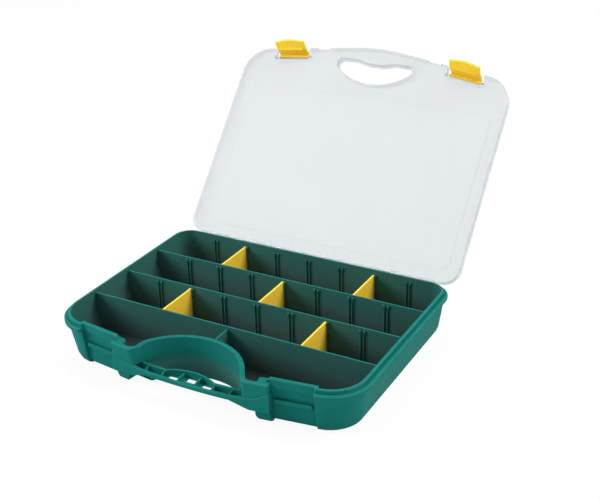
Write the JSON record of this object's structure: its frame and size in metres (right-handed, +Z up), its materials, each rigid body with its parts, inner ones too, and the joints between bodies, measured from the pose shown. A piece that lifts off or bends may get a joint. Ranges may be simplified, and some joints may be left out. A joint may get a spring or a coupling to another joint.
{
  "type": "small parts organiser case",
  "caption": "Open small-parts organiser case: moulded tray with fixed and removable dividers, hinged clear lid with latches and a carrying handle.",
  "frame": {"origin": "middle of the tray's flat underside", "axes": "+Z up out of the open tray, -Y towards the carrying handle, +X to the right seen from the handle"},
  "size_m": [0.376, 0.4854, 0.2646],
  "materials": {
    "green_plastic": "satin moulded polypropylene",
    "clear_plastic": "milky clear moulded polypropylene",
    "yellow_plastic": "satin moulded plastic",
    "steel": "drawn pin"
  },
  "bodies": {
    "tray": {"tray_floor": "green_plastic", "tray_rear_wall": "green_plastic", "tray_left_wall": "green_plastic", "tray_right_wall": "green_plastic", "tray_front_left_wall": "green_plastic", "tray_front_right_wall": "green_plastic", "left_handle_post": "green_plastic", "right_handle_post": "green_plastic", "arched_wall": "green_plastic", "grip_bar": "green_plastic", "left_recess_ledge": "green_plastic", "right_recess_ledge": "green_plastic", "rear_long_divider": "green_plastic", "middle_long_divider": "green_plastic", "front_long_divider": "green_plastic", "centre_divider": "green_plastic", "left_hinge_pin": "steel", "right_hinge_pin": "steel"},
    "lid": {"lid": "clear_plastic", "left_latch_pin": "steel", "right_latch_pin": "steel"},
    "left_latch": {"left_latch": "yellow_plastic"},
    "right_latch": {"right_latch": "yellow_plastic"},
    "rear_row_left_divider_plate": {"rear_row_left_divider": "yellow_plastic"},
    "rear_row_right_divider_plate": {"rear_row_right_divider": "yellow_plastic"},
    "middle_row_centre_divider_plate": {"middle_row_centre_divider": "yellow_plastic"},
    "third_row_left_divider_plate": {"third_row_left_divider": "yellow_plastic"},
    "third_row_right_divider_plate": {"third_row_right_divider": "yellow_plastic"}
  },
  "joints": [
    {"name": "lid_hinge", "type": "hinge", "parent": "tray", "child": "lid", "pos_m": [0, 0.1436, 0.046], "axis": [-1, 0, 0], "range_deg": [-131.4, 0]},
    {"name": "left_latch_hinge", "type": "hinge", "parent": "lid", "child": "left_latch", "pos_m": [-0.12103, 0.32825, 0.23805], "axis": [-0.9914, -0.0863, -0.0979], "range_deg": [-7, 98]},
    {"name": "right_latch_hinge", "type": "hinge", "parent": "lid", "child": "right_latch", "pos_m": [0.12103, 0.32825, 0.23805], "axis": [-0.9914, 0.0863, 0.0979], "range_deg": [-7, 98]},
    {"name": "rear_row_left_divider_lift", "type": "slide", "parent": "tray", "child": "rear_row_left_divider_plate", "axis": [0, 0, 1], "range_m": [0, 0.055]},
    {"name": "rear_row_right_divider_lift", "type": "slide", "parent": "tray", "child": "rear_row_right_divider_plate", "axis": [0, 0, 1], "range_m": [0, 0.055]},
    {"name": "middle_row_centre_divider_lift", "type": "slide", "parent": "tray", "child": "middle_row_centre_divider_plate", "axis": [0, 0, 1], "range_m": [0, 0.055]},
    {"name": "third_row_left_divider_lift", "type": "slide", "parent": "tray", "child": "third_row_left_divider_plate", "axis": [0, 0, 1], "range_m": [0, 0.055]},
    {"name": "third_row_right_divider_lift", "type": "slide", "parent": "tray", "child": "third_row_right_divider_plate", "axis": [0, 0, 1], "range_m": [0, 0.055]}
  ]
}
